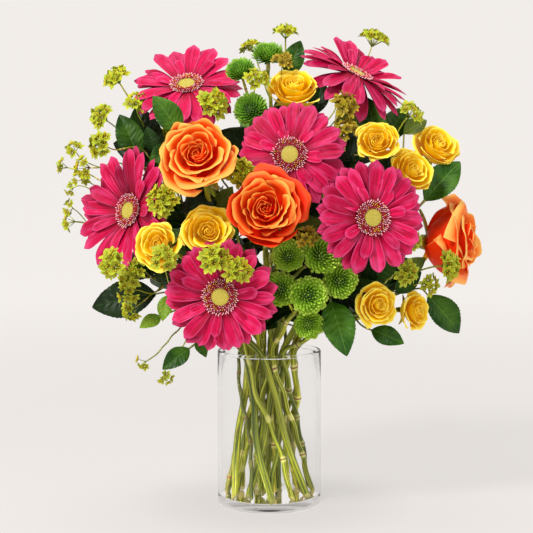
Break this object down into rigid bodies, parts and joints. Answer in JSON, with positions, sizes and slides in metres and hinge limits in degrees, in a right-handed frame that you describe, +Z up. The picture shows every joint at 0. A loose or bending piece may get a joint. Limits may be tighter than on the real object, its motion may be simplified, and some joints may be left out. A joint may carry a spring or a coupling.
{
  "type": "flower arrangement in a glass cylinder vase",
  "caption": "Mixed bouquet of gerberas, roses, button mums, bupleurum and broad leaves standing in water in a clear glass cylinder vase.",
  "frame": {"origin": "middle of the vase's flat base, on the surface it stands on", "axes": "+Z up along the vase's axis; the bouquet's face looks along -Y, with +X to its right"},
  "size_m": [0.4124, 0.273, 0.4694],
  "materials": {
    "glass": "clear, polished",
    "water": "clear water with a flat surface",
    "pink_petal": "soft petal, hot pink with fine grooves along it",
    "gerbera_eye": "tufted florets round a smooth yellow-green middle",
    "orange_petal": "velvety petal, orange with redder backs",
    "yellow_petal": "soft petal, warm yellow with paler edges",
    "mum": "dense small petals, green with lime tips",
    "stem": "satin green stem with light ribs and darker nodes",
    "bupleurum": "thin lime bracts and stalks",
    "leaf": "leathery leaf with a pale rib and veins"
  },
  "bodies": {
    "root": {"vase": "glass", "water": "water", "gerbera_top_left_petals": "pink_petal", "gerbera_top_left_eye": "gerbera_eye", "gerbera_top_left_stem": "stem", "gerbera_top_right_petals": "pink_petal", "gerbera_top_right_eye": "gerbera_eye", "gerbera_top_right_stem": "stem", "gerbera_middle_petals": "pink_petal", "gerbera_middle_eye": "gerbera_eye", "gerbera_middle_stem": "stem", "gerbera_right_petals": "pink_petal", "gerbera_right_eye": "gerbera_eye", "gerbera_right_stem": "stem", "gerbera_left_petals": "pink_petal", "gerbera_left_eye": "gerbera_eye", "gerbera_left_stem": "stem", "gerbera_back_petals": "pink_petal", "gerbera_back_eye": "gerbera_eye", "gerbera_back_stem": "stem", "gerbera_low_petals": "pink_petal", "gerbera_low_eye": "gerbera_eye", "gerbera_low_stem": "stem", "rose_left_bloom": "orange_petal", "rose_left_stem": "stem", "rose_middle_bloom": "orange_petal", "rose_middle_stem": "stem", "rose_right_bloom": "orange_petal", "rose_right_stem": "stem", "spray_rose_right_a": "yellow_petal", "spray_rose_right_b": "yellow_petal", "spray_rose_right_c": "yellow_petal", "spray_rose_right_stem": "stem", "spray_rose_left_a": "yellow_petal", "spray_rose_left_b": "yellow_petal", "spray_rose_left_stem": "stem", "spray_rose_low_a": "yellow_petal", "spray_rose_low_b": "yellow_petal", "spray_rose_low_stem": "stem", "spray_rose_top": "yellow_petal", "spray_rose_back_a": "yellow_petal", "spray_rose_back_b": "yellow_petal", "spray_rose_top_stem": "stem", "mums_top": "mum", "mums_middle": "mum", "mums_low": "mum", "bupleurum_left": "bupleurum", "bupleurum_low": "bupleurum", "bupleurum_top": "bupleurum", "bupleurum_back": "bupleurum", "bupleurum_right": "bupleurum", "leaves_left": "leaf", "leaves_right": "leaf", "leaves_top": "leaf", "leaves_low": "leaf", "leaves_back": "leaf"}
  },
  "joints": []
}
